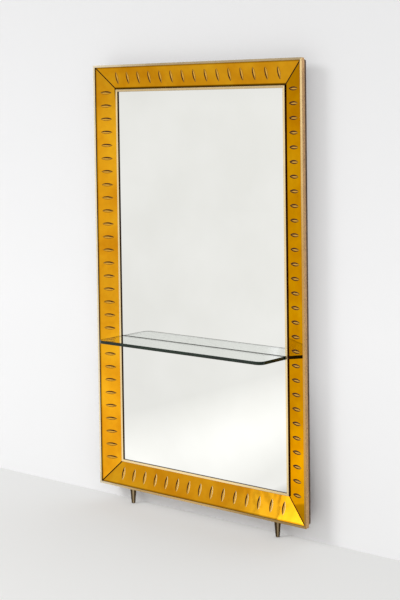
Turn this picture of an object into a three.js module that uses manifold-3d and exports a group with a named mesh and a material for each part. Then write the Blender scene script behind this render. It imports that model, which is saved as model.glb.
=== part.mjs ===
// A pier mirror: a tall silvered mirror in a frame of four inclined strips of engraved amber mirror glass,
// edged with brass, with a glass shelf across it and two tapered brass feet.
// Millimetres. X runs across, Y from front to back, Z up from the floor. The frame's four sides are mitred bars
// that share their sections: in a section, "inset" is the distance in from the frame's outer edge and "depth"
// the distance back from the front of the brass lip.
import * as THREE from "three";
import { mergeVertices } from "three/addons/utils/BufferGeometryUtils.js";
import Module from "manifold-3d";

const wasm = await Module();
wasm.setup();

// ---- Driving dimensions -------------------------------------------------------------------------------------
const FRAME_WIDTH = 1000;
const FRAME_HEIGHT = 1640;
const CLEARANCE = 0.3; // between pieces that touch

const LIP_WIDTH = 8; // brass edging: a solid lip over the glass, and a thin flange down the side
const FLANGE_THICKNESS = 1.2;
const FLANGE_DEPTH = 16;
const FLANGE_END_CUT = 1.1; // how far the flange's end is cut back for each millimetre of depth

const BRAD_RADIUS = 1.3; // brads that fix the side flanges, driven flush
const BRAD_LENGTH = 7;
const BRAD_DEPTH = 10; // behind the front of the lip
const BRAD_COUNT = 6; // to each side
const BRAD_END_GAP = 41; // from the first and last brads to the frame's ends

const STRIP_WIDTH = 85; // tinted strip, as seen from the front between lip and bead
const STRIP_TILT = THREE.MathUtils.degToRad(17);
const STRIP_THICKNESS = 4;
const STRIP_DEPTH = 2.4; // of the strip's outer edge behind the front of the lip
const MITRE_ARRIS = 1.6; // bevel on the strips' mitred ends

const LEAF_LENGTH = 48; // engraved leaf, across the strip
const LEAF_WIDTH = 12;
const LEAF_DEPTH = 0.8;
const LEAF_STEPS = 4; // straight steps in each of a leaf's two sides
const STILE_LEAF_PITCH = 51;
const RAIL_LEAF_PITCH = 55.6;
const LEAF_END_GAP = 105; // least distance from a leaf's middle to the end of its side

const BEAD_WIDTH = 10; // brass bead around the mirror: a round-edged cap on a thin web
const BEAD_HEIGHT = 5; // above the tinted strip's inner edge
const BEAD_ROUNDING = 2;
const BEAD_WEB = 2;
const BEAD_WEB_INSET = 1; // from the cap's outer side

const MIRROR_THICKNESS = 5;
const SIDE_DEPTH = 27.5; // from the front of the lip to the end of the flat side
const BACK_DEPTH = 58; // from the front of the lip to the back face
const BACK_INSET = 25.5; // where the bevel behind the side meets the back face
const CORNER_RADIUS = 28; // wooden corners behind the square brass ones
const LEDGE_WIDTH = 28; // wood under the mirror's edge
const REBATE_WIDTH = 12; // step behind the ledge that takes the back panel
const LEDGE_THICKNESS = 7.7;
const PANEL_THICKNESS = 6;

const SHELF_END_GAP = 3.2; // between the shelf's ends and the beads
const SHELF_THICKNESS = 12;
const SHELF_REACH = 110; // in front of the brass lip
const SHELF_HEIGHT = 591; // from the frame's lower edge to the shelf's top
const SHELF_CORNER = 25;
const SHELF_ARRIS = 0.8;
const SHELF_HOUSING = 16; // how far the shelf's back edge stands in its groove
const SHELF_GAP = 1; // between the shelf and the mirror panes
const BED_THICKNESS = 1.5; // felt strip that the shelf lies on
const SHELF_RAIL_HEIGHT = 60;

const FOOT_REACH = 63; // from the floor to the frame's lower edge
const FOOT_INSET = 149; // of the feet's axes from the frame's ends
const FOOT_DEPTH = 31; // of the feet's axes behind the lip
const FOOT_TOP_RADIUS = 14;
const FOOT_TIP_RADIUS = 7.5;
const FOOT_TIP_ROUNDING = 3;
const FOOT_SEAT = 18; // how far the foot goes up into the bottom rail
const WASHER_RADIUS = 13; // on the foot's top, around the stud
const WASHER_THICKNESS = 2;
const STUD_RADIUS = 4;
const STUD_IN_FOOT = 26;
const STUD_IN_RAIL = 40;

const HANGER_INSET = 66; // strap hangers on the back of the stiles
const HANGER_DROP = 290; // of the ring's axis below the frame's top
const STRAP_WIDTH = 20;
const STRAP_LENGTH = 60;
const STRAP_THICKNESS = 2;
const RING_WIRE_RADIUS = 2;
const RING_WIDTH = 30; // between the middles of the wire's two sides
const RING_LENGTH = 28; // from its axis to the middle of the wire's bow
const KNUCKLE_WALL = 2;
const SCREW_HEAD_RADIUS = 4;
const SCREW_HEAD_HEIGHT = 1.5;
const SCREW_SHANK_RADIUS = 1.6;
const SCREW_LENGTH = 18;
const SCREW_PLACES = [38, 51]; // below the ring's axis

const PAD_RADIUS = 15; // felt pads between the back and the wall
const PAD_THICKNESS = 10;
const PAD_DROP = 200; // of each pad from the frame's top or bottom

const PLATE_LEG = 95; // steel angle plates across the mitres
const PLATE_WIDTH = 22;
const PLATE_THICKNESS = 2;

const ROUND_SIDES = 32;

// ---- Sizes that follow from them ----------------------------------------------------------------------------
const tiltSlope = Math.tan(STRIP_TILT);
const wallInset = FLANGE_THICKNESS + CLEARANCE; // outer side of the wood
const stripOuter = wallInset + 0.5;
const stripInner = LIP_WIDTH + STRIP_WIDTH;
const stripRise = STRIP_THICKNESS / Math.cos(STRIP_TILT); // the glass's thickness along the depth
const recess = stripSurface(stripInner);
const stripGap = CLEARANCE / Math.cos(STRIP_TILT); // along the depth, between the glass and what lies on it
const beadOuter = stripInner + CLEARANCE;
const beadInner = beadOuter + BEAD_WIDTH;
const webOuter = beadOuter + BEAD_WEB_INSET;
const mirrorFront = recess + CLEARANCE + 0.1;
const ledgeFront = mirrorFront + MIRROR_THICKNESS + CLEARANCE;
const ledgeInner = stripInner + LEDGE_WIDTH;
const rebateInner = ledgeInner - REBATE_WIDTH;
const rebateFront = ledgeFront + LEDGE_THICKNESS;
const paneInset = webOuter + BEAD_WEB + CLEARANCE;
const frameMiddle = FOOT_REACH + FRAME_HEIGHT / 2;
const frameTop = FOOT_REACH + FRAME_HEIGHT;
const bradPitch = (FRAME_HEIGHT - 2 * BRAD_END_GAP) / (BRAD_COUNT - 1);
const shelfLength = FRAME_WIDTH - 2 * (beadInner + SHELF_END_GAP);
const shelfTop = FOOT_REACH + SHELF_HEIGHT;
const shelfBottom = shelfTop - SHELF_THICKNESS;
const grooveTop = shelfTop + SHELF_GAP;
const grooveBottom = shelfBottom - BED_THICKNESS - 2 * CLEARANCE;
const shelfBack = ledgeFront + SHELF_HOUSING;
const grooveBack = shelfBack + CLEARANCE;
const knuckleRadius = RING_WIRE_RADIUS + CLEARANCE + KNUCKLE_WALL;
const backSurface = BACK_DEPTH + CLEARANCE;
const ringDepth = backSurface + knuckleRadius;
const ringHeight = frameTop - HANGER_DROP;
const hangerSide = FRAME_WIDTH / 2 - HANGER_INSET;
const footSide = FRAME_WIDTH / 2 - FOOT_INSET;

const SIDES = {
  bottom: { across: FRAME_HEIGHT, length: FRAME_WIDTH, turn: 0 },
  left: { across: FRAME_WIDTH, length: FRAME_HEIGHT, turn: Math.PI / 2 },
  top: { across: FRAME_HEIGHT, length: FRAME_WIDTH, turn: Math.PI },
  right: { across: FRAME_WIDTH, length: FRAME_HEIGHT, turn: -Math.PI / 2 },
};

function isStile(side) {
  return side === "left" || side === "right";
}

// Depth of the tinted glass's front surface at an inset.
function stripSurface(inset) {
  return STRIP_DEPTH + (inset - stripOuter) * tiltSlope;
}

// ---- Materials ----------------------------------------------------------------------------------------------
function finish(color, roughness, metalness) {
  return new THREE.MeshStandardMaterial({ color, roughness, metalness });
}
const amberGlass = finish(0xdc960f, 0.08, 1);
const silverGlass = finish(0xe6e8e4, 0.03, 1);
const shelfGlass = finish(0xbcd2c4, 0.05, 0);
const brass = finish(0xc9a05c, 0.3, 1);
const darkWood = finish(0x4a3422, 0.7, 0);
const panelWood = finish(0x9a774e, 0.8, 0);
const felt = finish(0x2f3a2e, 0.95, 0);
const steel = finish(0x8d9094, 0.45, 1);

// ---- Helpers ------------------------------------------------------------------------------------------------
// A closed geometry as a solid that can be joined to others and cut.
function solidOf(geometry) {
  const bare = geometry.clone();
  bare.deleteAttribute("normal");
  bare.deleteAttribute("uv");
  const merged = mergeVertices(bare, 1e-4);
  const vertProperties = new Float32Array(merged.attributes.position.array);
  const triVerts = new Uint32Array(merged.index.array);
  return new wasm.Manifold(new wasm.Mesh({ numProp: 3, vertProperties, triVerts }));
}

function geometryOf(solid) {
  const { vertProperties, triVerts } = solid.getMesh();
  const geometry = new THREE.BufferGeometry();
  geometry.setAttribute("position", new THREE.BufferAttribute(vertProperties, 3));
  geometry.setIndex(new THREE.BufferAttribute(triVerts, 1));
  return geometry;
}

function cut(geometry, cutters) {
  const solid = cutters.reduce((rest, cutter) => rest.subtract(solidOf(cutter)), solidOf(geometry));
  return geometryOf(solid);
}

function joined(geometries) {
  const [first, ...others] = geometries.map(solidOf);
  return geometryOf(others.reduce((whole, solid) => whole.add(solid), first));
}

function outline(points) {
  return new THREE.Shape(points.map(([x, y]) => new THREE.Vector2(x, y)));
}

// A box given by its lowest and highest corners.
function boxBetween(low, high) {
  const size = high.map((value, i) => value - low[i]);
  const box = new THREE.BoxGeometry(...size);
  return box.translate(...low.map((value, i) => value + size[i] / 2));
}

// An outline in X and Z, thickened along Y from one depth to another.
function plateBetween(shape, front, back) {
  const plate = new THREE.ExtrudeGeometry(shape, { depth: back - front, bevelEnabled: false });
  return plate.rotateX(Math.PI / 2).translate(0, back, 0);
}

function cylinderAlongZ(radius, low, high) {
  const rod = new THREE.CylinderGeometry(radius, radius, high - low, ROUND_SIDES);
  return rod.rotateX(Math.PI / 2).translate(0, 0, (low + high) / 2);
}

function cylinderAlongY(radius, front, back) {
  const rod = new THREE.CylinderGeometry(radius, radius, back - front, ROUND_SIDES);
  return rod.translate(0, (front + back) / 2, 0);
}

// ---- Mitred bars --------------------------------------------------------------------------------------------
// One side of the frame, as the bottom side lies: its section is drawn in inset and depth, and each end is cut
// back by its inset, which makes the mitre. endCut adds to that at the points where the end is cut further.
function mitredBar(section, side, endCut = () => 0) {
  const { across, length } = SIDES[side];
  const bar = new THREE.ExtrudeGeometry(section, { depth: 1, bevelEnabled: false, curveSegments: 4 });
  const position = bar.attributes.position;
  for (let i = 0; i < position.count; i++) {
    const inset = position.getX(i);
    const depth = position.getY(i);
    const halfLength = length / 2 - inset - CLEARANCE / 2 - endCut(inset, depth);
    const x = position.getZ(i) > 0.5 ? -halfLength : halfLength;
    position.setXYZ(i, x, depth, inset - across / 2);
  }
  return bar;
}

const assembly = new THREE.Group();

function addMesh(name, geometry, material, place = [0, 0, 0], parent = assembly) {
  const mesh = new THREE.Mesh(geometry, material);
  mesh.name = name;
  mesh.position.set(...place);
  parent.add(mesh);
  return mesh;
}

function addBar(name, geometry, material, side) {
  const bar = addMesh(name, geometry, material, [0, 0, frameMiddle]);
  bar.rotation.y = SIDES[side].turn;
}

// ---- Wooden frame -------------------------------------------------------------------------------------------
const woodSection = outline([
  [wallInset, stripSurface(wallInset) + stripRise + stripGap],
  [stripInner, stripSurface(stripInner) + stripRise + stripGap],
  [stripInner, ledgeFront],
  [ledgeInner, ledgeFront],
  [ledgeInner, rebateFront],
  [rebateInner, rebateFront],
  [rebateInner, BACK_DEPTH],
  [BACK_INSET, BACK_DEPTH],
  [wallInset, SIDE_DEPTH],
]);

// What a side loses where its two outer corners are rounded: the corner's square less its quarter circle.
function cornerCutters(side) {
  const { across, length } = SIDES[side];
  return [-1, 1].map((end) => {
    const radius = CORNER_RADIUS - wallInset;
    const middleX = end * (length / 2 - CORNER_RADIUS);
    const middleZ = CORNER_RADIUS - across / 2;
    const corner = new THREE.Shape();
    corner.moveTo(0, -radius);
    corner.absarc(0, 0, radius, -Math.PI / 2, 0, false);
    corner.lineTo(2 * radius, 0);
    corner.lineTo(2 * radius, -2 * radius);
    corner.lineTo(0, -2 * radius);
    const cutter = new THREE.ExtrudeGeometry(corner, { depth: BACK_DEPTH + 2, bevelEnabled: false, curveSegments: 8 });
    cutter.rotateX(Math.PI / 2).translate(0, BACK_DEPTH + 1, 0);
    if (end < 0) cutter.rotateY(Math.PI / 2);
    return cutter.translate(middleX, 0, middleZ);
  });
}

// The groove that houses the shelf's back edge, in one of the stiles: along the bar, X is the height.
function shelfNotch(side) {
  const upwards = side === "right" ? 1 : -1;
  const [low, high] = [grooveBottom, grooveTop].map((z) => upwards * (z - frameMiddle)).sort((a, b) => a - b);
  const inset = (FRAME_WIDTH - shelfLength) / 2 - 2 * CLEARANCE;
  return boxBetween(
    [low, mirrorFront, inset - FRAME_WIDTH / 2],
    [high, grooveBack, ledgeInner + 1 - FRAME_WIDTH / 2],
  );
}

// The seat that a foot's top goes into, and the hole above it for the stud, in the bottom rail.
function footSeats() {
  return [-1, 1].flatMap((end) => {
    const bottom = -FRAME_HEIGHT / 2;
    const seat = cylinderAlongZ(FOOT_TOP_RADIUS + 2 * CLEARANCE, bottom - 1, bottom + FOOT_SEAT);
    const hole = cylinderAlongZ(STUD_RADIUS + CLEARANCE, bottom, bottom + FOOT_SEAT + STUD_IN_RAIL + CLEARANCE);
    return [seat, hole].map((cutter) => cutter.translate(end * footSide, FOOT_DEPTH, 0));
  });
}

// Holes for the strap hangers' screws, in a stile.
function screwHoles(side) {
  const upwards = side === "right" ? 1 : -1;
  return SCREW_PLACES.map((drop) => {
    const hole = cylinderAlongY(SCREW_SHANK_RADIUS + CLEARANCE, BACK_DEPTH - SCREW_LENGTH - 1, BACK_DEPTH + 1);
    return hole.translate(upwards * (ringHeight - drop - frameMiddle), 0, HANGER_INSET - FRAME_WIDTH / 2);
  });
}

// A row of brads along a side, each lying inwards from the outer face.
function bradRow(radius, length, start = 0) {
  return Array.from({ length: BRAD_COUNT }, (_, i) => {
    const brad = cylinderAlongZ(radius, start - FRAME_WIDTH / 2, length - FRAME_WIDTH / 2);
    return brad.translate((i - (BRAD_COUNT - 1) / 2) * bradPitch, BRAD_DEPTH, 0);
  });
}
const bradHoles = bradRow(BRAD_RADIUS + CLEARANCE, BRAD_LENGTH + CLEARANCE, -1);

const woodNames = { bottom: "rail_bottom", left: "stile_left", top: "rail_top", right: "stile_right" };
const woodCutters = { bottom: footSeats(), left: [], top: [], right: [] };
for (const side of ["left", "right"]) woodCutters[side] = [shelfNotch(side), ...screwHoles(side), ...bradHoles];
for (const side of Object.keys(SIDES)) {
  const bar = cut(mitredBar(woodSection, side), [...cornerCutters(side), ...woodCutters[side]]);
  addBar(woodNames[side], bar, darkWood, side);
}

// ---- Tinted strips ------------------------------------------------------------------------------------------
const stripSection = outline([
  [stripOuter, STRIP_DEPTH],
  [stripInner, recess],
  [stripInner - STRIP_THICKNESS * Math.sin(STRIP_TILT), recess + STRIP_THICKNESS * Math.cos(STRIP_TILT)],
  [stripOuter, STRIP_DEPTH + stripRise],
]);

// One engraved leaf: two equal curves that meet in a point at each end, its length along Y.
function leafShape() {
  const leaf = new THREE.Shape();
  leaf.moveTo(0, -LEAF_LENGTH / 2);
  leaf.quadraticCurveTo(LEAF_WIDTH, 0, 0, LEAF_LENGTH / 2);
  leaf.quadraticCurveTo(-LEAF_WIDTH, 0, 0, -LEAF_LENGTH / 2);
  return leaf;
}

function leafCutters(side) {
  const { across, length } = SIDES[side];
  const pitch = isStile(side) ? STILE_LEAF_PITCH : RAIL_LEAF_PITCH;
  const count = 1 + Math.floor((length - 2 * LEAF_END_GAP) / pitch);
  const middleInset = LIP_WIDTH + STRIP_WIDTH / 2;
  return Array.from({ length: count }, (_, i) => {
    const options = { depth: 2 * LEAF_DEPTH, bevelEnabled: false, curveSegments: LEAF_STEPS };
    const leaf = new THREE.ExtrudeGeometry(leafShape(), options).translate(0, 0, -LEAF_DEPTH);
    leaf.rotateX(Math.PI / 2 - STRIP_TILT);
    return leaf.translate((i - (count - 1) / 2) * pitch, stripSurface(middleInset), middleInset - across / 2);
  });
}

// Square rods that lie along the front edges of the mitred ends, turned by 45 degrees, and so bevel them.
function arrisCutters(side) {
  const { across, length } = SIDES[side];
  return [-1, 1].map((end) => {
    const along = new THREE.Vector3(-end, tiltSlope, 1).normalize();
    const outward = new THREE.Vector3(0, -Math.cos(STRIP_TILT), Math.sin(STRIP_TILT));
    const sideways = new THREE.Vector3().crossVectors(along, outward).normalize();
    const width = MITRE_ARRIS * Math.SQRT2;
    const rod = new THREE.BoxGeometry(2 * STRIP_WIDTH, width, width).rotateX(Math.PI / 4);
    rod.applyMatrix4(new THREE.Matrix4().makeBasis(along, outward, sideways));
    const inset = LIP_WIDTH + STRIP_WIDTH / 2;
    const halfLength = length / 2 - inset - CLEARANCE / 2;
    return rod.translate(end * halfLength, stripSurface(inset), inset - across / 2);
  });
}

for (const side of Object.keys(SIDES)) {
  const strip = cut(mitredBar(stripSection, side), [...leafCutters(side), ...arrisCutters(side)]);
  addBar("tinted_strip_" + side, strip, amberGlass, side);
}

// ---- Brass edging and bead ----------------------------------------------------------------------------------
const lipBack = stripSurface(FLANGE_THICKNESS) - stripGap; // where the flange begins
const edgingSection = outline([
  [0, 0],
  [LIP_WIDTH, 0],
  [LIP_WIDTH, stripSurface(LIP_WIDTH) - stripGap],
  [FLANGE_THICKNESS, lipBack],
  [FLANGE_THICKNESS, FLANGE_DEPTH],
  [0, FLANGE_DEPTH],
  [0, lipBack],
]);

function flangeEndCut(inset, depth) {
  return inset > FLANGE_THICKNESS ? 0 : Math.max(0, depth - lipBack) * FLANGE_END_CUT;
}

function beadSection() {
  const front = recess - BEAD_HEIGHT;
  const capBack = mirrorFront - CLEARANCE;
  const section = new THREE.Shape();
  section.moveTo(beadOuter + BEAD_ROUNDING, front);
  section.lineTo(beadInner - BEAD_ROUNDING, front);
  section.quadraticCurveTo(beadInner, front, beadInner, front + BEAD_ROUNDING);
  section.lineTo(beadInner, capBack);
  section.lineTo(webOuter + BEAD_WEB, capBack);
  section.lineTo(webOuter + BEAD_WEB, ledgeFront - CLEARANCE);
  section.lineTo(webOuter, ledgeFront - CLEARANCE);
  section.lineTo(webOuter, capBack);
  section.lineTo(beadOuter, capBack);
  section.lineTo(beadOuter, front + BEAD_ROUNDING);
  section.quadraticCurveTo(beadOuter, front, beadOuter + BEAD_ROUNDING, front);
  return section;
}

for (const side of Object.keys(SIDES)) {
  const edging = cut(mitredBar(edgingSection, side, flangeEndCut), isStile(side) ? bradHoles : []);
  addBar("brass_edging_" + side, edging, brass, side);
  addBar("brass_bead_" + side, mitredBar(beadSection(), side), brass, side);
}
for (const side of ["left", "right"]) {
  bradRow(BRAD_RADIUS, BRAD_LENGTH).forEach((brad, i) => addBar(`brad_${side}_${i + 1}`, brad, steel, side));
}

// ---- Mirror panes and back panels ---------------------------------------------------------------------------
const paneHalf = FRAME_WIDTH / 2 - paneInset;
const paneSpans = {
  upper: [shelfTop + SHELF_GAP, frameTop - paneInset],
  lower: [FOOT_REACH + paneInset, shelfBottom - SHELF_GAP],
};
for (const [place, [low, high]] of Object.entries(paneSpans)) {
  const back = mirrorFront + MIRROR_THICKNESS;
  addMesh("mirror_" + place, boxBetween([-paneHalf, mirrorFront, low], [paneHalf, back, high]), silverGlass);
}

const railMiddle = (grooveBottom + grooveTop) / 2;
const railTop = railMiddle + SHELF_RAIL_HEIGHT / 2;
const railBottom = railMiddle - SHELF_RAIL_HEIGHT / 2;
const panelInset = rebateInner + CLEARANCE;
const panelHalf = FRAME_WIDTH / 2 - panelInset;
const panelFront = rebateFront + CLEARANCE;
const panelSpans = {
  upper: [railTop - REBATE_WIDTH + CLEARANCE, frameTop - panelInset],
  lower: [FOOT_REACH + panelInset, railBottom + REBATE_WIDTH - CLEARANCE],
};
for (const [place, [low, high]] of Object.entries(panelSpans)) {
  const back = panelFront + PANEL_THICKNESS;
  addMesh("back_panel_" + place, boxBetween([-panelHalf, panelFront, low], [panelHalf, back, high]), panelWood);
}

// ---- Shelf and its rail -------------------------------------------------------------------------------------
// The rail's section is drawn in depth and height: a groove in front, and a step behind at top and bottom.
const shelfRailSection = outline([
  [ledgeFront, railBottom],
  [rebateFront, railBottom],
  [rebateFront, railBottom + REBATE_WIDTH],
  [BACK_DEPTH, railBottom + REBATE_WIDTH],
  [BACK_DEPTH, railTop - REBATE_WIDTH],
  [rebateFront, railTop - REBATE_WIDTH],
  [rebateFront, railTop],
  [ledgeFront, railTop],
  [ledgeFront, grooveTop],
  [grooveBack, grooveTop],
  [grooveBack, grooveBottom],
  [ledgeFront, grooveBottom],
]);
const shelfRailLength = FRAME_WIDTH - 2 * (ledgeInner + CLEARANCE);
const shelfRail = new THREE.ExtrudeGeometry(shelfRailSection, { depth: shelfRailLength, bevelEnabled: false });
shelfRail.rotateY(Math.PI / 2).rotateX(Math.PI / 2).translate(-shelfRailLength / 2, 0, 0);
addMesh("shelf_rail", shelfRail, darkWood);

// The shelf's outline is drawn in X and Y, smaller by its arris, which the bevel puts back.
function shelfGeometry() {
  const half = shelfLength / 2 - SHELF_ARRIS;
  const front = -SHELF_REACH + SHELF_ARRIS;
  const back = shelfBack - SHELF_ARRIS;
  const radius = SHELF_CORNER - SHELF_ARRIS;
  const plan = new THREE.Shape();
  plan.moveTo(half, back);
  plan.lineTo(-half, back);
  plan.lineTo(-half, front + radius);
  plan.absarc(-half + radius, front + radius, radius, Math.PI, 1.5 * Math.PI, false);
  plan.absarc(half - radius, front + radius, radius, 1.5 * Math.PI, 2 * Math.PI, false);
  const glass = new THREE.ExtrudeGeometry(plan, {
    depth: SHELF_THICKNESS - 2 * SHELF_ARRIS,
    bevelThickness: SHELF_ARRIS,
    bevelSize: SHELF_ARRIS,
    bevelSegments: 1,
    curveSegments: 8,
  });
  return glass.translate(0, 0, SHELF_ARRIS);
}
addMesh("shelf", shelfGeometry(), shelfGlass, [0, 0, shelfBottom]);

const bedTop = shelfBottom - CLEARANCE;
const bedHalf = shelfRailLength / 2;
addMesh(
  "shelf_bed",
  boxBetween([-bedHalf, ledgeFront, bedTop - BED_THICKNESS], [bedHalf, grooveBack - CLEARANCE, bedTop]),
  felt,
);

// ---- Feet ---------------------------------------------------------------------------------------------------
const seatTop = FOOT_REACH + FOOT_SEAT;
const washerTop = seatTop - CLEARANCE;
const footHeight = washerTop - WASHER_THICKNESS - CLEARANCE;
const footHole = footHeight - STUD_IN_FOOT - CLEARANCE;

// A tapered foot with a rounded tip, and a hole in its top for the stud.
function footGeometry() {
  const boreRadius = STUD_RADIUS + CLEARANCE;
  const profile = [new THREE.Vector2(0, 0), new THREE.Vector2(FOOT_TIP_RADIUS - FOOT_TIP_ROUNDING, 0)];
  for (let step = 1; step <= 4; step++) {
    const angle = (step / 4) * (Math.PI / 2);
    const x = FOOT_TIP_RADIUS - FOOT_TIP_ROUNDING * (1 - Math.sin(angle));
    profile.push(new THREE.Vector2(x, FOOT_TIP_ROUNDING * (1 - Math.cos(angle))));
  }
  profile.push(
    new THREE.Vector2(FOOT_TOP_RADIUS, footHeight),
    new THREE.Vector2(boreRadius, footHeight),
    new THREE.Vector2(boreRadius, footHole),
    new THREE.Vector2(0, footHole),
  );
  return new THREE.LatheGeometry(profile, ROUND_SIDES).rotateX(Math.PI / 2);
}

function washerGeometry() {
  const disc = cylinderAlongZ(WASHER_RADIUS, washerTop - WASHER_THICKNESS, washerTop);
  return cut(disc, [cylinderAlongZ(STUD_RADIUS + CLEARANCE, footHeight, seatTop)]);
}

for (const [name, end] of Object.entries({ left: -1, right: 1 })) {
  const foot = new THREE.Group();
  foot.position.set(end * footSide, FOOT_DEPTH, 0);
  assembly.add(foot);
  const stud = cylinderAlongZ(STUD_RADIUS, footHole + CLEARANCE, seatTop + STUD_IN_RAIL);
  addMesh("foot_" + name, footGeometry(), brass, [0, 0, 0], foot);
  addMesh("foot_stud_" + name, stud, steel, [0, 0, 0], foot);
  addMesh("foot_washer_" + name, washerGeometry(), steel, [0, 0, 0], foot);
}

// ---- Strap hangers ------------------------------------------------------------------------------------------
// In a hanger's own group the origin is on the ring's axis.
const strapFront = backSurface - ringDepth;
const strapBack = strapFront + STRAP_THICKNESS;

function strapGeometry() {
  const strap = boxBetween([-STRAP_WIDTH / 2, strapFront, -STRAP_LENGTH], [STRAP_WIDTH / 2, strapBack, 0]);
  const knuckle = cylinderAlongZ(knuckleRadius, -STRAP_WIDTH / 2, STRAP_WIDTH / 2).rotateY(Math.PI / 2);
  const bore = cylinderAlongZ(RING_WIRE_RADIUS + CLEARANCE, -STRAP_WIDTH, STRAP_WIDTH).rotateY(Math.PI / 2);
  const holes = SCREW_PLACES.map((drop) =>
    cylinderAlongY(SCREW_SHANK_RADIUS + CLEARANCE, strapFront - 1, strapBack + 1).translate(0, 0, -drop),
  );
  return cut(joined([strap, knuckle]), [bore, ...holes]);
}

// A D-shaped ring: a straight bar through the knuckle, and a bow of the same wire that hangs from its ends.
function ringGeometry() {
  const half = RING_WIDTH / 2;
  const bar = cylinderAlongZ(RING_WIRE_RADIUS, -half, half).rotateY(Math.PI / 2);
  const bow = new THREE.CurvePath();
  const point = (x, z) => new THREE.Vector3(x, 0, z);
  const bend = half - RING_LENGTH;
  bow.add(new THREE.LineCurve3(point(-half, 0), point(-half, bend)));
  bow.add(new THREE.CubicBezierCurve3(
    point(-half, bend),
    point(-half, bend - half * 0.55),
    point(-half * 0.55, -RING_LENGTH),
    point(0, -RING_LENGTH),
  ));
  bow.add(new THREE.CubicBezierCurve3(
    point(0, -RING_LENGTH),
    point(half * 0.55, -RING_LENGTH),
    point(half, bend - half * 0.55),
    point(half, bend),
  ));
  bow.add(new THREE.LineCurve3(point(half, bend), point(half, 0)));
  const wire = new THREE.Shape().absarc(0, 0, RING_WIRE_RADIUS, 0, 2 * Math.PI, false);
  const bail = new THREE.ExtrudeGeometry(wire, { steps: 24, extrudePath: bow, curveSegments: 6 });
  const ends = [-half, half].map((x) => new THREE.SphereGeometry(RING_WIRE_RADIUS, 12, 8).translate(x, 0, 0));
  return joined([bar, bail, ...ends]);
}

function screwGeometry() {
  const headBack = strapBack + CLEARANCE + SCREW_HEAD_HEIGHT;
  const tip = headBack - SCREW_HEAD_HEIGHT - SCREW_LENGTH;
  const shank = cylinderAlongY(SCREW_SHANK_RADIUS, tip, headBack - SCREW_HEAD_HEIGHT / 2);
  return joined([cylinderAlongY(SCREW_HEAD_RADIUS, strapBack + CLEARANCE, headBack), shank]);
}

for (const [name, end] of Object.entries({ left: -1, right: 1 })) {
  const hanger = new THREE.Group();
  hanger.position.set(end * hangerSide, ringDepth, ringHeight);
  assembly.add(hanger);
  addMesh("hanger_strap_" + name, strapGeometry(), brass, [0, 0, 0], hanger);
  addMesh("hanger_ring_" + name, ringGeometry(), brass, [0, 0, 0], hanger);
  SCREW_PLACES.forEach((drop, i) => {
    const place = i === 0 ? "upper" : "lower";
    addMesh(`hanger_screw_${name}_${place}`, screwGeometry(), steel, [0, 0, -drop], hanger);
  });
}

// ---- Wall pads and corner plates ----------------------------------------------------------------------------
// An L whose outer corner is at the origin and whose legs run along +X and +Z.
const plateShape = outline([
  [0, 0],
  [PLATE_LEG, 0],
  [PLATE_LEG, PLATE_WIDTH],
  [PLATE_WIDTH, PLATE_WIDTH],
  [PLATE_WIDTH, PLATE_LEG],
  [0, PLATE_LEG],
]);
const plateInset = (BACK_INSET + rebateInner - PLATE_WIDTH) / 2;

for (const [sideName, sideSign] of Object.entries({ left: -1, right: 1 })) {
  for (const [endName, endSign] of Object.entries({ lower: -1, upper: 1 })) {
    const edge = frameMiddle + (endSign * FRAME_HEIGHT) / 2;
    const pad = cylinderAlongY(PAD_RADIUS, backSurface, backSurface + PAD_THICKNESS);
    addMesh(`wall_pad_${sideName}_${endName}`, pad, felt, [sideSign * hangerSide, 0, edge - endSign * PAD_DROP]);

    const plate = addMesh(
      `corner_plate_${sideName}_${endName}`,
      plateBetween(plateShape, 0, PLATE_THICKNESS),
      steel,
      [sideSign * (FRAME_WIDTH / 2 - plateInset), backSurface, edge - endSign * plateInset],
    );
    // Each plate is turned about Y so that its legs run along its own stile and rail.
    plate.rotation.y = { "-1,-1": 0, "-1,1": Math.PI / 2, "1,1": Math.PI, "1,-1": -Math.PI / 2 }[
      [sideSign, endSign].join()
    ];
  }
}

// ---- The part -----------------------------------------------------------------------------------------------
// The origin is on the floor, midway across and midway from the shelf's front to the back of the wall pads.
const backmost = backSurface + PAD_THICKNESS;
assembly.position.y = (SHELF_REACH - backmost) / 2;

const pierMirror = new THREE.Group();
pierMirror.add(assembly);

export default pierMirror;
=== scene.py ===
"""The looks of a pier mirror: engraved amber mirror glass, brass, a glass shelf and a silvered plate.

Metres, in the frame of the solids: X across, Y from front to back, Z up from the floor.
"""

import math
from collections import namedtuple

import bmesh
import bpy
from mathutils import Matrix, Vector


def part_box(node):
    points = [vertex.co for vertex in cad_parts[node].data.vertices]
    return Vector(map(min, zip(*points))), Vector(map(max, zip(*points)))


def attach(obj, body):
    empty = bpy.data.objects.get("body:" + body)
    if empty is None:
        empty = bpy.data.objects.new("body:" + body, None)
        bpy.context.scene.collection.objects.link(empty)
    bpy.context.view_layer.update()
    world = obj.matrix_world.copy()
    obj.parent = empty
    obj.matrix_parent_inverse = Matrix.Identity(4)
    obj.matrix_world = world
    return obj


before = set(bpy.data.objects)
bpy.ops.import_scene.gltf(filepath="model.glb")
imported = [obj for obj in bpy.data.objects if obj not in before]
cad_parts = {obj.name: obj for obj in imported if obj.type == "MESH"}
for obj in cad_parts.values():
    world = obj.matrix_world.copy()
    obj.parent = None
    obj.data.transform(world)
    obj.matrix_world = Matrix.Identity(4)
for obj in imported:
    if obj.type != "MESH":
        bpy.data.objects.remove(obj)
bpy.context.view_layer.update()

MM = 0.001
IMAGE_HEIGHT = 600  # pixels

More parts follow.
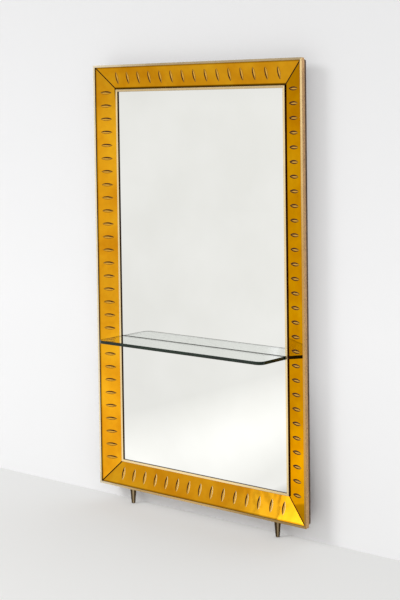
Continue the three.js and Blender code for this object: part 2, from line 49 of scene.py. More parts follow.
# ---- Sizes that the solids have too ---------------------------------------------------------------------------
FRAME_WIDTH = 1000 * MM
FRAME_HEIGHT = 1640 * MM
FRAME_MIDDLE = 883 * MM  # height of the frame's middle above the floor
LIP_FRONT = 20.85 * MM  # Y of the front of the brass lip
LIP_WIDTH = 8 * MM
STRIP_WIDTH = 85 * MM
STRIP_OUTER = 2 * MM  # inset of the tinted glass's outer edge
STRIP_DEPTH = 2.4 * MM
STRIP_TILT = math.radians(17)
LEAF_LENGTH = 48 * MM
LEAF_WIDTH = 12 * MM
LEAF_PITCH = {"stile": 51 * MM, "rail": 55.6 * MM}
LEAF_COUNT = {"stile": 29, "rail": 15}
SIDES = {
    "bottom": ("rail", FRAME_HEIGHT, 0.0),
    "left": ("stile", FRAME_WIDTH, math.pi / 2),
    "top": ("rail", FRAME_HEIGHT, math.pi),
    "right": ("stile", FRAME_WIDTH, -math.pi / 2),
}


# ---- Camera ---------------------------------------------------------------------------------------------------
def add_camera():
    """A long lens to the right of the mirror, at eye level, with the horizon above the middle of the picture."""
    azimuth, down, roll = math.radians(40.20), math.radians(2.80), math.radians(-0.79)
    focal_pixels = 1389.3
    horizon_shift_pixels = -125
    place = Vector((3.3105, -3.8527, 1.5369))
    ahead = Vector((-math.sin(azimuth) * math.cos(down), math.cos(azimuth) * math.cos(down), -math.sin(down)))
    right = Vector((math.cos(azimuth), math.sin(azimuth), 0))
    up = right.cross(ahead)
    rolled_right = right * math.cos(roll) + up * math.sin(roll)
    rolled_up = up * math.cos(roll) - right * math.sin(roll)
    data = bpy.data.cameras.new("camera")
    data.sensor_width = 36
    data.lens = focal_pixels / IMAGE_HEIGHT * data.sensor_width
    data.shift_y = horizon_shift_pixels / IMAGE_HEIGHT
    data.clip_end = 100
    camera = bpy.data.objects.new("camera", data)
    axes = Matrix((rolled_right, rolled_up, -ahead)).transposed()
    camera.matrix_world = Matrix.Translation(place) @ axes.to_4x4()
    bpy.context.scene.collection.objects.link(camera)
    bpy.context.scene.camera = camera


add_camera()


# ---- Node materials -------------------------------------------------------------------------------------------
class Shader:
    """Builds a node tree. Inputs are given by name, as a value or as another node's output."""

    def __init__(self, tree):
        self.tree = tree
        tree.nodes.clear()

    def add(self, kind, inputs=None, **settings):
        made = self.tree.nodes.new(kind)
        for key, value in settings.items():
            setattr(made, key, value)
        for key, value in (inputs or {}).items():
            if isinstance(value, bpy.types.NodeSocket):
                self.tree.links.new(value, made.inputs[key])
            else:
                made.inputs[key].default_value = value
        return made

    def position(self, scale=(1, 1, 1)):
        """The point on the piece, in metres, stretched along the axes by scale."""
        point = self.add("ShaderNodeTexCoord").outputs["Object"]
        return self.add("ShaderNodeMapping", {"Vector": point, "Scale": scale}).outputs["Vector"]

    def noise(self, scale, detail=2.0, stretch=(1, 1, 1), roughness=0.5, distortion=0.0):
        inputs = {
            "Vector": self.position(stretch),
            "Scale": scale,
            "Detail": detail,
            "Roughness": roughness,
            "Distortion": distortion,
        }
        return self.add("ShaderNodeTexNoise", inputs).outputs["Fac"]

    def ramp(self, factor, *stops):
        """Colours or grey levels at positions from 0 to 1."""
        made = self.add("ShaderNodeValToRGB", {"Fac": factor})
        elements = made.color_ramp.elements
        while len(elements) < len(stops):
            elements.new(0.5)
        for element, (place, colour) in zip(elements, stops):
            element.position = place
            element.color = (*colour, 1) if isinstance(colour, tuple) else (colour, colour, colour, 1)
        return made.outputs["Color"]

    def mix(self, factor, first, second, blend="MIX"):
        made = self.add("ShaderNodeMix", data_type="RGBA", blend_type=blend)
        for index, value in ((0, factor), (6, first), (7, second)):
            if isinstance(value, bpy.types.NodeSocket):
                self.tree.links.new(value, made.inputs[index])
            elif index == 0:
                made.inputs[index].default_value = value
            else:
                made.inputs[index].default_value = (*value, 1)
        return made.outputs[2]

    def math(self, operation, *values, clamp=False):
        made = self.add("ShaderNodeMath", operation=operation, use_clamp=clamp)
        for index, value in enumerate(values):
            if isinstance(value, bpy.types.NodeSocket):
                self.tree.links.new(value, made.inputs[index])
            else:
                made.inputs[index].default_value = value
        return made.outputs[0]

    def separate(self, vector, axis):
        return self.add("ShaderNodeSeparateXYZ", {"Vector": vector}).outputs[axis]

    def inset(self):
        """How far a point is in from the frame's nearest side, in metres."""
        x = self.math("ABSOLUTE", self.separate(self.position(), "X"))
        z = self.math("ABSOLUTE", self.math("SUBTRACT", self.separate(self.position(), "Z"), FRAME_MIDDLE))
        return self.math(
            "MINIMUM", self.math("SUBTRACT", FRAME_WIDTH / 2, x), self.math("SUBTRACT", FRAME_HEIGHT / 2, z)
        )

    def bump(self, height, distance, strength=1.0):
        inputs = {"Height": height, "Distance": distance, "Strength": strength}
        return self.add("ShaderNodeBump", inputs).outputs["Normal"]

    def surface(self, inputs):
        shader = self.add("ShaderNodeBsdfPrincipled", inputs)
        output = self.add("ShaderNodeOutputMaterial", {"Surface": shader.outputs["BSDF"]})
        return shader, output


def material(name):
    made = bpy.data.materials.new(name)
    made.use_nodes = True
    return made, Shader(made.node_tree)


def amber_mirror():
    """Amber glass, silvered behind: a slightly wavy tinted mirror, orange to yellow. It is browner near the top.
    Painted shade darkens it along its outer edge, beside the lip, and along the top strip's inner edge, beside the
    bead."""
    made, shader = material("amber_mirror_glass")
    drift = shader.noise(6.5, 3, distortion=0.6)
    grain = shader.noise(42, 4, roughness=0.65)
    tone = shader.ramp(drift, (0.32, (0.74, 0.29, 0.006)), (0.52, (0.85, 0.375, 0.010)), (0.7, (0.92, 0.45, 0.015)))
    mottle = shader.ramp(grain, (0.3, 0.90), (0.7, 1.0))
    half_height = shader.math("MULTIPLY", shader.separate(shader.position(), "Z"), 0.5)
    darker_near_top = shader.ramp(half_height, (0.72, 1.0), (0.82, 0.80))
    decimetres_in = shader.math("MULTIPLY", shader.inset(), 10)
    # Painted shade: a dark band just inside the lip.
    lip_painted_shade = shader.ramp(decimetres_in, (0.08, 0.40), (0.115, 0.62), (0.14, 1.0))
    # Painted shade: a dark band along the top strip's inner edge, beside the bead.
    bead_painted_shade = shader.ramp(decimetres_in, (0.85, 1.0), (0.875, 0.22), (0.94, 0.12))
    at_top = shader.ramp(half_height, (0.78, 0.0), (0.80, 1.0))
    colour = shader.mix(1.0, shader.mix(1.0, tone, mottle, "MULTIPLY"), darker_near_top, "MULTIPLY")
    colour = shader.mix(1.0, colour, lip_painted_shade, "MULTIPLY")
    colour = shader.mix(at_top, colour, shader.mix(1.0, colour, bead_painted_shade, "MULTIPLY"))
    shader.surface({
        "Base Color": colour,
        "Metallic": 1.0,
        "Specular Tint": (1.0, 0.40, 0.0, 1),
        "Roughness": shader.ramp(grain, (0.3, 0.02), (0.75, 0.045)),
        "Normal": shader.bump(shader.noise(9, 2), 0.0007, 0.6),
    })
    return made


def silver_mirror():
    """Old clear plate, silvered behind, with a faint greenish cast."""
    made, shader = material("silver_mirror_glass")
    cloud = shader.noise(3.5, 3)
    shader.surface({
        "Base Color": shader.ramp(cloud, (0.35, (0.885, 0.885, 0.845)), (0.7, (0.93, 0.93, 0.895))),
        "Metallic": 1.0,
        "Roughness": shader.ramp(shader.noise(90, 3), (0.35, 0.006), (0.75, 0.02)),
        "Normal": shader.bump(shader.noise(4, 1), 0.0006, 0.3),
    })
    return made


def brass(name, front, side, inward_shade=None, fade=None, towards=(0, -1, 0), turn=(0.72, 0.86)):
    """Polished brass, lightly blotched. Faces that look towards a direction have the front's tone and the others the
    side's:
    painted shade by facing, and on the feet a painted highlight; turn gives the cosines between which the tone changes.
    Faces turned to the frame's middle may be darker still, with more painted shade. A fade is an axis, where it starts
    and
    ends, and its tone: painted shade along the piece."""
    made, shader = material(name)
    facing = shader.add("ShaderNodeTexCoord").outputs["Normal"]
    forward = shader.add("ShaderNodeVectorMath", {0: facing, 1: towards}, operation="DOT_PRODUCT").outputs["Value"]
    if fade:
        # Painted shade: the front's tone turns to the fade's darker tone along the axis.
        axis, start, end, shaded_tone = fade
        along = shader.separate(shader.position(), axis)
        fading = shader.add("ShaderNodeMapRange", {"Value": along, "From Min": start, "From Max": end})
        front = shader.mix(fading.outputs["Result"], front, shaded_tone)
    # Painted shade: faces turned away from the given direction take the side's darker tone; on the feet the front's
    # tone is a painted highlight.
    tone = shader.mix(shader.ramp(forward, (turn[0], 1.0), (turn[1], 0.0)), front, side)
    if inward_shade:
        # Painted shade on faces turned to the frame's middle.
        middle = shader.add("ShaderNodeVectorMath", {0: shader.position(), 1: (0, 0, -FRAME_MIDDLE)}, operation="ADD")
        outward = shader.add("ShaderNodeVectorMath", {0: facing, 1: middle.outputs["Vector"]}, operation="DOT_PRODUCT")
        turned_in = shader.math("MULTIPLY", outward.outputs["Value"], -1)
        tone = shader.mix(shader.ramp(turned_in, (0.1, 0.0), (0.2, 1.0)), tone, inward_shade)
    blotches = shader.noise(24, 4, roughness=0.6)
    scratches = shader.noise(900, 2, stretch=(1, 1, 0.12))
    shader.surface({
        "Base Color": shader.mix(1.0, tone, shader.ramp(blotches, (0.3, 0.88), (0.65, 1.0)), "MULTIPLY"),
        "Metallic": 1.0,
        "Roughness": shader.ramp(blotches, (0.3, 0.22), (0.75, 0.34)),
        "Normal": shader.bump(scratches, 0.00006, 0.12),
    })
    return made


def wood(name, dark, light, grain_axis, roughness=0.55):
    """Sawn wood with its grain along one axis."""
    made, shader = material(name)
    stretch = tuple(0.06 if axis == grain_axis else 1 for axis in "XYZ")
    rings = shader.noise(70, 4, stretch, roughness=0.6, distortion=0.8)
    fibres = shader.noise(420, 3, stretch)
    tone = shader.ramp(rings, (0.3, dark), (0.72, light))
    colour = shader.mix(0.35, tone, shader.ramp(fibres, (0.3, 0.35), (0.7, 1.0)), "MULTIPLY")
    shader.surface({
        "Base Color": colour,
        "Roughness": roughness,
        "Normal": shader.bump(fibres, 0.0006, 0.5),
    })
    return made


def felt():
    made, shader = material("felt")
    fuzz = shader.noise(1400, 4, roughness=0.8)
    clumps = shader.noise(160, 3)
    tone = shader.ramp(clumps, (0.3, (0.018, 0.028, 0.020)), (0.7, (0.045, 0.06, 0.045)))
    shader.surface({
        "Base Color": tone,
        "Roughness": 0.95,
        "Sheen Weight": 0.3,
        "Normal": shader.bump(fuzz, 0.001, 0.8),
    })
    return made


def steel():
    """Zinc-plated steel, faintly blotched, with drawn lines."""
    made, shader = material("steel")
    lines = shader.noise(700, 2, stretch=(0.1, 1, 1))
    blotches = shader.noise(45, 3)
    shader.surface({
        "Base Color": shader.ramp(blotches, (0.3, (0.42, 0.43, 0.44)), (0.7, (0.60, 0.61, 0.62))),
        "Metallic": 1.0,
        "Roughness": shader.ramp(lines, (0.3, 0.32), (0.7, 0.5)),
        "Normal": shader.bump(lines, 0.0001, 0.4),
    })
    return made


def shelf_glass():
    """Clear plate whose polished edges are painted nearly black-green and opaque, a painted shade for how they look
    when seen through its whole width.
    """
    made, shader = material("shelf_glass")
    smears = shader.noise(11, 3)
    body, output = shader.surface({
        "Base Color": (0.95, 0.985, 0.965, 1),
        "Roughness": shader.ramp(smears, (0.35, 0.0), (0.8, 0.03)),
        "IOR": 1.52,
        "Transmission Weight": 1.0,
    })
    # Painted shade: the edges get an opaque, nearly black surface in place of the glass.
    edge = shader.add("ShaderNodeBsdfPrincipled", {
        "Base Color": shader.ramp(shader.noise(30, 3), (0.3, (0.002, 0.006, 0.003)), (0.75, (0.010, 0.026, 0.013))),
        "Roughness": 0.12,
        "IOR": 1.52,
        "Specular IOR Level": 0.3,
    })
    upright = shader.math("ABSOLUTE", shader.separate(shader.add("ShaderNodeTexCoord").outputs["Normal"], "Z"))
    glass = shader.add("ShaderNodeMixShader", {"Fac": shader.ramp(upright, (0.80, 0.0), (0.92, 1.0))})
    shader.tree.links.new(edge.outputs["BSDF"], glass.inputs[1])
    shader.tree.links.new(body.outputs["BSDF"], glass.inputs[2])
    clear = shader.add("ShaderNodeBsdfTransparent", {"Color": (0.86, 0.92, 0.88, 1)})
    both = shader.add("ShaderNodeMixShader", {"Fac": shader.add("ShaderNodeLightPath").outputs["Is Shadow Ray"]})
    shader.tree.links.new(glass.outputs["Shader"], both.inputs[1])
    shader.tree.links.new(clear.outputs["BSDF"], both.inputs[2])
    shader.tree.links.new(both.outputs["Shader"], output.inputs["Surface"])
    return made


def ground_glass(name, low, high, metallic, roughness, gloss=0.5):
    """A cut in the tinted glass: wheel-ground, with the wheel's fine lines."""
    made, shader = material(name)
    lines = shader.noise(500, 3)
    shader.surface({
        "Base Color": shader.ramp(lines, (0.3, low), (0.7, high)),
        "Metallic": metallic,
        "Roughness": roughness,
        "Specular IOR Level": gloss,
        "Normal": shader.bump(lines, 0.0002, 0.4),
    })
    return made


# Painted shade: the dark tones of brass faces turned sideways, of faces turned to the frame's middle, and of the beads'
# sides.
CREAM, SIDE_PAINTED_SHADE, INWARD_PAINTED_SHADE = (1.0, 0.86, 0.60), (0.72, 0.44, 0.21), (0.09, 0.045, 0.011)
BEAD_PAINTED_SHADE = (0.07, 0.032, 0.010)
DARK_GRAIN, LIGHT_GRAIN = (0.055, 0.025, 0.013), (0.17, 0.09, 0.048)
LOOKS = {
    "amber_mirror_glass": amber_mirror(),
    "silver_mirror_glass": silver_mirror(),
    "shelf_glass": shelf_glass(),
    "felt": felt(),
    "steel": steel(),
    # The four edgings are lit and shaded copies of one brass: the right one's front tone and the fades on the right,
    # top and bottom are painted shade.
    "edging_left": brass("edging_left", CREAM, SIDE_PAINTED_SHADE, INWARD_PAINTED_SHADE),
    "edging_right": brass(
        "edging_right", (1.0, 0.74, 0.36), SIDE_PAINTED_SHADE, INWARD_PAINTED_SHADE, ("Z", 1.5, 1.0, (0.66, 0.38, 0.11))
    ),
    "edging_top": brass("edging_top", CREAM, SIDE_PAINTED_SHADE, INWARD_PAINTED_SHADE, ("X", -0.5, -0.2, (0.55, 0.42, 0.24))),
    "edging_bottom": brass("edging_bottom", CREAM, SIDE_PAINTED_SHADE, INWARD_PAINTED_SHADE, ("X", -0.5, -0.3, (0.64, 0.42, 0.17))),
    "bead": brass("bead_brass", (1.0, 0.78, 0.42), BEAD_PAINTED_SHADE),
    # Painted shade: the top bead is a darker copy of the beads' brass.
    "bead_top": brass("shaded_top_bead_brass", (0.74, 0.56, 0.30), BEAD_PAINTED_SHADE),
    # Painted highlight: faces turned front-right, towards the camera, take the light tone, and the rest a dark painted
    # shade.
    "foot": brass(
        "foot_brass_painted_highlight", (0.50, 0.38, 0.22), (0.075, 0.042, 0.014), towards=(0.64, -0.77, 0), turn=(0.92, 0.98)
    ),
    "brad": brass("brad_brass", (0.20, 0.11, 0.04), (0.10, 0.05, 0.02)),
    "hardware": brass("hardware_brass", (0.80, 0.60, 0.30), (0.62, 0.43, 0.20)),
    "stile_wood": wood("stile_wood", DARK_GRAIN, LIGHT_GRAIN, "Z"),
    "rail_wood": wood("rail_wood", DARK_GRAIN, LIGHT_GRAIN, "X"),
    "panel_wood": wood("panel_wood", (0.26, 0.155, 0.075), (0.46, 0.30, 0.165), "Z", 0.75),
    "mitre": ground_glass("mitre_line", (0.012, 0.004, 0.001), (0.035, 0.012, 0.002), 0.0, 0.6, 0.1),
    # The walls of the engraved leaves are lit and shaded copies of one ground glass: painted shade, lighter painted
    # shade and a painted highlight.
    "cut_painted_shade": ground_glass("cut_painted_shade", (0.028, 0.007, 0.001), (0.075, 0.020, 0.002), 0.0, 0.5, 0.15),
    "cut_painted_half_shade": ground_glass("cut_painted_half_shade", (0.12, 0.040, 0.003), (0.24, 0.085, 0.006), 0.0, 0.5, 0.15),
    "cut_painted_highlight": ground_glass("cut_painted_highlight", (0.90, 0.60, 0.22), (1.0, 0.78, 0.38), 0.6, 0.22),
    "cut_floor": ground_glass("cut_floor", (0.64, 0.31, 0.026), (0.82, 0.44, 0.05), 0.6, 0.3),
}


def look_of(node):
    """The look of a solid, by its name."""
    if node.startswith("tinted_strip"):
        return "amber_mirror_glass"
    if node.startswith("mirror_"):
        return "silver_mirror_glass"
    if node == "shelf":
        return "shelf_glass"
    if node.startswith("brass_edging"):
        return "edging" + node.removeprefix("brass_edging")
    if node.startswith("brass_bead"):
        return "bead_top" if node.endswith("_top") else "bead"
    if node.startswith("brad_"):
        return "brad"
    if node.startswith(("foot_stud", "foot_washer", "hanger_screw", "corner_plate")):
        return "steel"
    if node.startswith("foot_"):
        return "foot"
    if node.startswith("hanger_"):
        return "hardware"
    if node.startswith("stile_"):
        return "stile_wood"
    if node.startswith("back_panel"):
        return "panel_wood"
    if node in ("rail_bottom", "rail_top", "shelf_rail"):
        return "rail_wood"
    return "felt"


for name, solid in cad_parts.items():
    solid.data.materials.clear()
    solid.data.materials.append(LOOKS[look_of(name)])


# ---- Pieces ---------------------------------------------------------------------------------------------------
def add_piece(name, mesh, looks, body="frame"):
    for look in looks:
        mesh.materials.append(LOOKS[look])
    piece = bpy.data.objects.new(name, mesh)
    bpy.context.scene.collection.objects.link(piece)
    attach(piece, body)


def strip_surface(inset):
    """Depth of the tinted glass's front behind the lip."""
    return STRIP_DEPTH + (inset - STRIP_OUTER) * math.tan(STRIP_TILT)


def bar_point(side, along, inset, depth):
    """A point of a side of the frame, in the frame of the solids."""
    _, across, turn = SIDES[side]
    z = inset - across / 2
    return Vector((
        along * math.cos(turn) + z * math.sin(turn),
        LIP_FRONT + depth,
        FRAME_MIDDLE - along * math.sin(turn) + z * math.cos(turn),
    ))


# A leaf's walls: how wide the bold one and the fine one are, along the leaf from its outer end to its point.
WALL_PLACES = (0.0, 0.12, 0.35, 0.6, 0.85, 1.0)
BOLD_WALL = (0.2, 3.2, 4.6, 5.4, 6.0, 6.0)
FINE_WALL = (0.1, 2.4, 3.6, 4.0, 4.0, 3.0)

# The leaves of each side: 1 where the bold wall comes first along the side, as bar_point counts it, and -1 where it
# comes last; how far the ground rim spreads past the pocket; the share of FINE_WALL that the fine wall takes; and the
# looks of the bold wall, the floor and the fine wall.
LeafStyle = namedtuple("LeafStyle", "order rim_spread fine_share looks")
# The walls' looks are painted light: the bold wall painted shade; the fine wall lighter painted shade, a painted
# highlight at the bottom and painted shade at the right.
LEAF_STYLES = {
    "bottom": LeafStyle(1, 1.2 * MM, 0.8, ("cut_painted_shade", "cut_floor", "cut_painted_highlight")),
    "left": LeafStyle(1, 0.2 * MM, 0.5, ("cut_painted_shade", "cut_floor", "cut_painted_half_shade")),
    "top": LeafStyle(-1, 0.8 * MM, 0.5, ("cut_painted_shade", "cut_floor", "cut_painted_half_shade")),
    "right": LeafStyle(-1, 1.0 * MM, 1.0, ("cut_painted_shade", "cut_floor", "cut_painted_shade")),
}


def wall_width(widths, place):
    """A wall's width at a place along the leaf, between the widths given at WALL_PLACES."""
    spans = list(zip(WALL_PLACES, WALL_PLACES[1:], widths, widths[1:]))
    start, end, first, last = next(span for span in spans if place <= span[1])
    return (first + (last - first) * (place - start) / (end - start)) * MM


def leaf_row(side, centre, place):
    """Seven points across a leaf: the ground rim, the pocket's edge, the foot of each wall, and the middle."""
    style = LEAF_STYLES[side]
    rim_lift, floor_depth, pocket_gap, end_width, overrun = 0.03 * MM, 0.6 * MM, 0.4 * MM, 0.1 * MM, 1 * MM
    blunt, pointed = 0.7, 0.85  # how the rim narrows towards its outer end and towards its point
    t = 2 * place - 1
    narrowing = max(0.0, 1 - t * t) ** (blunt if t < 0 else pointed)
    half = (LEAF_WIDTH / 2 + style.rim_spread) * narrowing + end_width
    pocket = min(half, max(0.0, LEAF_WIDTH / 2 * (1 - t * t) - pocket_gap))
    bold = max(-pocket, min(0.0, wall_width(BOLD_WALL, place) - half))
    fine = min(pocket, max(0.0, half - style.fine_share * wall_width(FINE_WALL, place)))
    sink = floor_depth * min(1.0, 4 * min(place, 1 - place))
    inset = LIP_WIDTH + STRIP_WIDTH / 2 + t * (LEAF_LENGTH / 2 + overrun) * math.cos(STRIP_TILT)
    points = []
    for across, deep in (
        (-half, -rim_lift),
        (-pocket, -rim_lift),
        (bold, 0.8 * sink),
        ((bold + fine) / 2, sink),
        (fine, 0.8 * sink),
        (pocket, -rim_lift),
        (half, -rim_lift),
    ):
        depth = strip_surface(inset) + deep * math.cos(STRIP_TILT)
        points.append(bar_point(side, centre + style.order * across, inset - deep * math.sin(STRIP_TILT), depth))
    return points


def leaf_engravings(side):
    """The engraved leaves of one side: two ground walls that slope to a floor, pointed towards the mirror."""
    kind = SIDES[side][0]
    rows = 14
    columns = (0, 0, 1, 1, 2, 2)  # the looks of the bold wall, the floor and the fine wall
    build = bmesh.new()
    for index in range(LEAF_COUNT[kind]):
        centre = (index - (LEAF_COUNT[kind] - 1) / 2) * LEAF_PITCH[kind]
        grid = [[build.verts.new(point) for point in leaf_row(side, centre, row / rows)] for row in range(rows + 1)]
        for lower, upper in zip(grid, grid[1:]):
            for column, look in enumerate(columns):
                corners = [lower[column], lower[column + 1], upper[column + 1], upper[column]]
                if LEAF_STYLES[side].order > 0:
                    corners.reverse()
                build.faces.new(corners).material_index = look
    add_built("leaves_" + side, build, LEAF_STYLES[side].looks)


def mitre_line(name, sign_x, sign_z):
    """The dark line of a mitre: a shallow channel between the bevels of two strips."""
    build = bmesh.new()
    lift, middle_depth, bevel, half, end_gap = 0.03 * MM, 0.5 * MM, 1.4 * MM, 2.3 * MM, 0.5 * MM
    rows = []
    for inset in (LIP_WIDTH + end_gap, LIP_WIDTH + STRIP_WIDTH - end_gap):
        row = []
        for place, below in ((-half, -lift), (-bevel, -lift), (0, middle_depth), (bevel, -lift), (half, -lift)):
            shift = place / math.sqrt(2)
            x = sign_x * (FRAME_WIDTH / 2 - inset + shift)
            z = FRAME_MIDDLE + sign_z * (FRAME_HEIGHT / 2 - inset - shift)
            depth = strip_surface(inset - abs(shift)) + below
            row.append(build.verts.new((x, LIP_FRONT + depth, z)))
        rows.append(row)
    for column in range(4):
        corners = [rows[0][column], rows[0][column + 1], rows[1][column + 1], rows[1][column]]
        if sign_x * sign_z < 0:
            corners.reverse()
        build.faces.new(corners)
    add_built(name, build, ("mitre",))


def add_dome(build, centre, radius, height, segments=16):
    """A low domed head that faces backwards, flat at its top."""
    rings = []
    for turn in (0, 0.35, 0.7):  # of a right angle, from the rim to the flat
        angle = turn * math.pi / 2
        ring_radius, ring_height = radius * math.cos(angle), height * math.sin(angle)
        ring = []
        for index in range(segments):
            around = 2 * math.pi * index / segments
            offset = Vector((ring_radius * math.cos(around), ring_height, ring_radius * math.sin(around)))
            ring.append(build.verts.new(Vector(centre) + offset))
        rings.append(ring)
    for lower, upper in zip(rings, rings[1:]):
        for index in range(segments):
            following = (index + 1) % segments
            build.faces.new((lower[index], upper[index], upper[following], lower[following]))
    build.faces.new(rings[-1])


def evenly(low, high, pitch):
    """Places from low to high, evenly spaced at about the pitch."""
    count = max(2, round((high - low) / pitch) + 1)
    return [low + (high - low) * index / (count - 1) for index in range(count)]


def panel_pins(name, panel):
    """Pins round the edge of a back panel."""
    edge, pitch, radius, dome = 9 * MM, 150 * MM, 1.9 * MM, 0.6 * MM
    low, high = (Vector(corner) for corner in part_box(panel))
    xs, zs = evenly(low.x + edge, high.x - edge, pitch), evenly(low.z + edge, high.z - edge, pitch)
    places = [(x, z) for x in xs for z in (zs[0], zs[-1])] + [(x, z) for x in (xs[0], xs[-1]) for z in zs[1:-1]]
    build = bmesh.new()
    for x, z in places:
        add_dome(build, (x, high.y, z), radius, dome)
    add_built(name, build, ("steel",))


def plate_screws(name, plate, sign_x, sign_z):
    """Five round-headed screws in an angle plate: one in its corner and two in each leg."""
    half_width, places, radius, dome = 11 * MM, (44 * MM, 83 * MM), 3.6 * MM, 1.5 * MM
    low, high = (Vector(corner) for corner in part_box(plate))
    corner_x = high.x if sign_x > 0 else low.x
    corner_z = high.z if sign_z > 0 else low.z
    build = bmesh.new()
    offsets = [(half_width, half_width)]
    offsets += [(place, half_width) for place in places] + [(half_width, place) for place in places]
    for dx, dz in offsets:
        add_dome(build, (corner_x - sign_x * dx, high.y, corner_z - sign_z * dz), radius, dome)
    add_built(name, build, ("steel",))


def add_built(name, build, looks):
    """Turns a finished bmesh into a piece of the frame."""
    mesh = bpy.data.meshes.new(name)
    bmesh.ops.remove_doubles(build, verts=build.verts, dist=1e-6)
    build.to_mesh(mesh)
    build.free()
    add_piece(name, mesh, looks)


for side in SIDES:
    leaf_engravings(side)
for column, sign_x in (("left", -1), ("right", 1)):
    for row, sign_z in (("lower", -1), ("upper", 1)):
        mitre_line(f"mitre_line_{column}_{row}", sign_x, sign_z)
        plate_screws(f"plate_screws_{column}_{row}", f"corner_plate_{column}_{row}", sign_x, sign_z)
for row in ("lower", "upper"):
    panel_pins("panel_pins_" + row, "back_panel_" + row)


# ---- Floor, wall and light ------------------------------------------------------------------------------------
ROOM_AXIS = (-0.55, -0.835, 0)  # the side of the room that is brightest, about where the plate looks
FLOOR_SIZE, FLOOR_COLOUR = (20, 24), (0.93, 0.93, 0.92)
# A painted pool of light, seen only by mirrors and glass.
PAINTED_POOL_CENTRE, PAINTED_POOL_REACH = (-0.68, -2.4, 0.0), (0.8, 6.0, 1.0)  # of the pool of light on the floor
WALL_Y = 0.095
WALL_SIZE, WALL_LOW, WALL_HIGH = (16, 6), (0.90, 0.90, 0.905), (0.755, 0.755, 0.76)
LAMP_SIZE, LAMP_TARGET = (3.0, 2.4), (0, 0, 0.7)


def room_brightness(shader, direction):
    """How bright the room looks in a level direction."""
    towards = shader.add("ShaderNodeVectorMath", {0: direction, 1: ROOM_AXIS}, operation="DOT_PRODUCT").outputs["Value"]
    return shader.ramp(towards, (0.0, 0.50), (0.76, 0.58), (0.89, 0.93), (0.965, 0.87), (1.0, 0.91))


def stage_plane(name, size, matrix, surface_of):
    """A rectangle of the stage about its own middle, with the surface that surface_of builds."""
    mesh = bpy.data.meshes.new(name)
    x, y = size[0] / 2, size[1] / 2
    mesh.from_pydata([(-x, -y, 0), (x, -y, 0), (x, y, 0), (-x, y, 0)], [], [(0, 1, 2, 3)])
    made, shader = material(name)
    shader.add("ShaderNodeOutputMaterial", {"Surface": surface_of(shader)})
    mesh.materials.append(made)
    plane = bpy.data.objects.new(name, mesh)
    plane.matrix_world = matrix
    bpy.context.scene.collection.objects.link(plane)
    return plane


def mix_shaders(shader, factor, first, second):
    """The first surface where the factor is 0 and the second where it is 1."""
    both = shader.add("ShaderNodeMixShader", {"Fac": factor})
    shader.tree.links.new(first, both.inputs[1])
    shader.tree.links.new(second, both.inputs[2])
    return both.outputs["Shader"]


def floor_surface(shader):
    """A pale floor that keeps shadows. Mirrors and glass see a painted glow in its place, a painted reflection as
    bright as the room and brighter in a painted pool of light."""
    seen = shader.add("ShaderNodeBsdfDiffuse", {"Color": (*FLOOR_COLOUR, 1)}).outputs["BSDF"]
    place = shader.add("ShaderNodeNewGeometry").outputs["Position"]
    level = shader.add("ShaderNodeVectorMath", {0: place}, operation="NORMALIZE")
    brightness = room_brightness(shader, level.outputs["Vector"])
    pool = {"Vector": place, "Location": PAINTED_POOL_CENTRE, "Scale": PAINTED_POOL_REACH}
    painted_pool = shader.add("ShaderNodeMapping", pool, vector_type="TEXTURE").outputs["Vector"]
    away = shader.add("ShaderNodeVectorMath", {0: painted_pool}, operation="LENGTH").outputs["Value"]
    strength = shader.add("ShaderNodeMapRange", {"Value": away, "From Min": 0.0, "To Min": 1.32, "To Max": 1.0})
    # Painted light: for glossy and transmission rays the floor glows instead of being lit.
    mirrored = shader.add("ShaderNodeEmission", {"Color": brightness, "Strength": strength.outputs["Result"]})
    path = shader.add("ShaderNodeLightPath").outputs
    indirect = shader.math("MAXIMUM", path["Is Glossy Ray"], path["Is Transmission Ray"])
    return mix_shaders(shader, indirect, seen, mirrored.outputs["Emission"])


def wall_surface(shader):
    """A pale wall, with painted shade that makes it a little darker towards its top and a painted glow that the camera
    sees, lightening shadows on it except low down, and open from behind so that the back can be seen.
    """
    height = shader.separate(shader.add("ShaderNodeNewGeometry").outputs["Position"], "Z")
    # Painted shade: the wall's colour darkens towards its top.
    colour = shader.ramp(shader.math("MULTIPLY", height, 0.4), (0.3, WALL_LOW), (0.9, WALL_HIGH))
    lit = shader.add("ShaderNodeBsdfDiffuse", {"Color": colour}).outputs["BSDF"]
    glow = shader.add("ShaderNodeEmission", {"Color": colour}).outputs["Emission"]
    path = shader.add("ShaderNodeLightPath").outputs
    # Painted light: the camera sees the wall partly glowing in its own colour, less so near the floor.
    painted_glow_share = shader.ramp(shader.math("MULTIPLY", height, 0.5), (0.08, 0.0), (0.3, 0.42))
    seen = mix_shaders(shader, shader.math("MULTIPLY", painted_glow_share, path["Is Camera Ray"]), lit, glow)
    clear = shader.add("ShaderNodeBsdfTransparent").outputs["BSDF"]
    return mix_shaders(shader, shader.add("ShaderNodeNewGeometry").outputs["Backfacing"], seen, clear)


stage_plane("floor", FLOOR_SIZE, Matrix.Identity(4), floor_surface)
upright = Matrix.Translation((0, WALL_Y, WALL_SIZE[1] / 2)) @ Matrix.Rotation(math.radians(90), 4, "X")
wall = stage_plane("wall", WALL_SIZE, upright, wall_surface)
wall.visible_diffuse = False
wall.visible_shadow = False


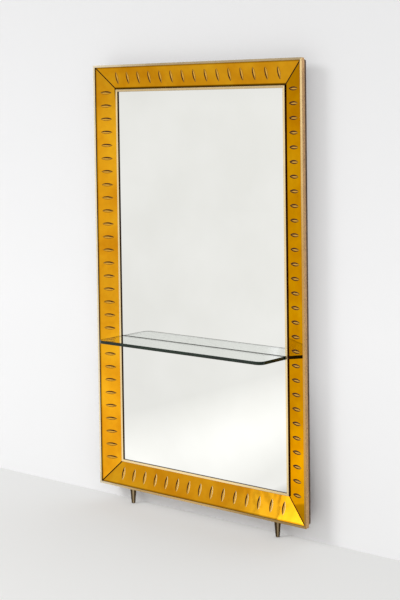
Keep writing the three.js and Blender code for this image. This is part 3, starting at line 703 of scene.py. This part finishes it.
def add_world():
    """An even light, a pale surround, and for what metal and glass show, a plain room with a window high on its
    bright side."""
    world = bpy.data.worlds.new("studio")
    world.use_nodes = True
    bpy.context.scene.world = world
    shader = Shader(world.node_tree)
    direction = shader.add("ShaderNodeTexCoord").outputs["Generated"]
    height = shader.separate(direction, "Z")
    above = shader.ramp(height, (0.0, 1.0), (0.05, 0.88), (0.16, 0.84), (0.3, 1.0), (0.8, 0.5))
    room = shader.mix(1.0, room_brightness(shader, direction), above, "MULTIPLY")
    window_level = shader.ramp(height, (0.10, 0.0), (0.15, 1.0), (0.26, 1.0), (0.32, 0.0))
    sideways = shader.math("MULTIPLY_ADD", shader.separate(direction, "X"), 5, 3.5)  # 0.5 to 0.8 over the window
    window_panes = shader.ramp(
        sideways,
        (0.50, 0.0),
        (0.53, 0.13),
        (0.5425, 0.0),
        (0.5575, 0.0),
        (0.565, 0.20),
        (0.5875, 0.24),
        (0.595, 0.0),
        (0.61, 0.0),
        (0.6175, 0.48),
        (0.68, 0.75),
        (0.76, 1.0),
        (0.80, 0.0),
    )
    front = shader.math("LESS_THAN", shader.separate(direction, "Y"), 0)
    window = shader.math("MULTIPLY", shader.math("MULTIPLY", window_level, window_panes), front)
    bright = shader.mix(window, room, (3.0, 3.0, 3.4))
    even = shader.add("ShaderNodeBackground", {"Color": (1, 1, 1, 1), "Strength": 0.60}).outputs["Background"]
    seen = shader.add("ShaderNodeBackground", {"Color": bright, "Strength": 1.0}).outputs["Background"]
    pale = shader.add("ShaderNodeBackground", {"Color": (*FLOOR_COLOUR, 1), "Strength": 1.0}).outputs["Background"]
    path = shader.add("ShaderNodeLightPath").outputs
    mirrored = shader.math("MAXIMUM", path["Is Glossy Ray"], path["Is Transmission Ray"])
    indoors = mix_shaders(shader, mirrored, even, seen)
    shader.add("ShaderNodeOutputWorld", {"Surface": mix_shaders(shader, path["Is Camera Ray"], indoors, pale)})


def add_lamp(name, place, watts):
    """A soft lamp that metal and glass don't show."""
    data = bpy.data.lights.new(name, "AREA")
    data.shape = "RECTANGLE"
    data.size, data.size_y = LAMP_SIZE
    data.energy = watts
    lamp = bpy.data.objects.new(name, data)
    lamp.location = place
    lamp.rotation_mode = "QUATERNION"
    lamp.rotation_quaternion = (Vector(LAMP_TARGET) - Vector(place)).to_track_quat("-Z", "Y")
    lamp.visible_glossy = False
    lamp.visible_transmission = False
    bpy.context.scene.collection.objects.link(lamp)


add_world()
add_lamp("key", (-4.0, -5.0, 4.6), 220)
add_lamp("fill", (4.4, -4.0, 3.0), 55)

bpy.context.scene.view_settings.view_transform = "Standard"
